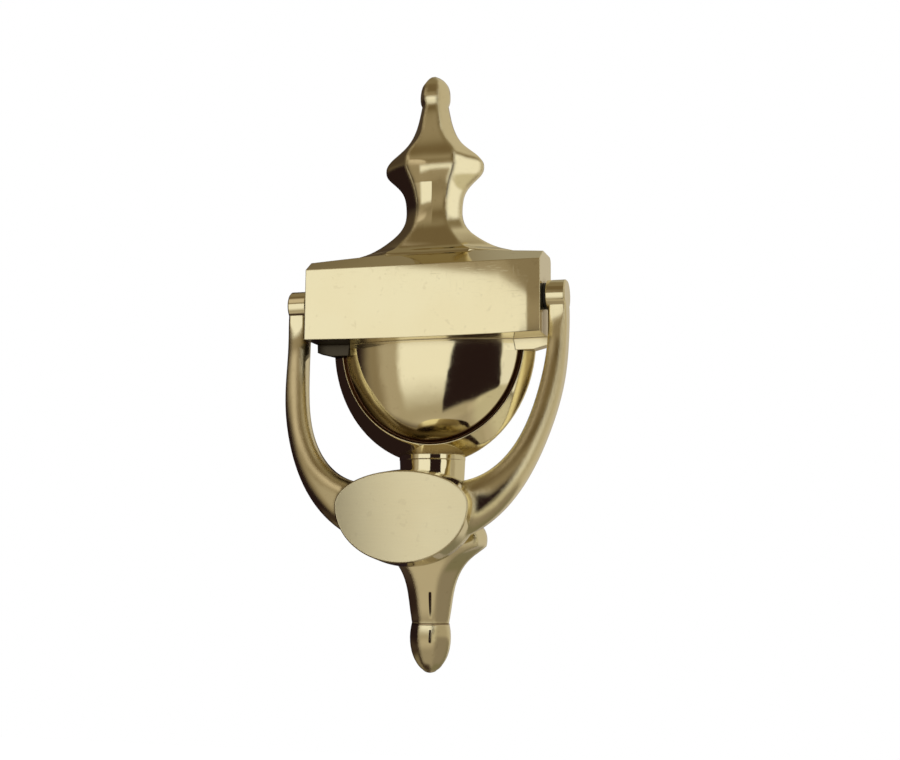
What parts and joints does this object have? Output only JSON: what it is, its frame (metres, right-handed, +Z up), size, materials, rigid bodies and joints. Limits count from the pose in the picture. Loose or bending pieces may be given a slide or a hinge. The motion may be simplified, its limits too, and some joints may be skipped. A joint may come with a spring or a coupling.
{
  "type": "door knocker",
  "caption": "Cast brass urn-shaped door knocker: a hollow-backed plate with acorn finials and a bar head, and a hinged arm with an oval pad that strikes a stud.",
  "frame": {"origin": "on the door's face, on the knocker's centre line, halfway up the plate", "axes": "+X to the right of someone facing the door, -Y out of the door towards them, +Z up along the plate"},
  "size_m": [0.0926, 0.034, 0.1954],
  "materials": {
    "polished_brass": "polished and lacquered",
    "steel": "bright",
    "black_nylon": "matt"
  },
  "bodies": {
    "plate": {"urn_plate": "polished_brass", "anvil_stud": "polished_brass", "pivot_pin_left": "steel", "pivot_pin_right": "steel", "pivot_washer_left": "black_nylon", "pivot_washer_right": "black_nylon", "pin_lock_screw_left": "steel", "pin_lock_screw_right": "steel"},
    "arm": {"knocker_arm": "polished_brass", "striker_stud": "polished_brass"}
  },
  "joints": [
    {"name": "arm_hinge", "type": "hinge", "parent": "plate", "child": "arm", "pos_m": [0, -0.0092, 0.0202], "axis": [-1, 0, 0], "range_deg": [0, 155]}
  ]
}
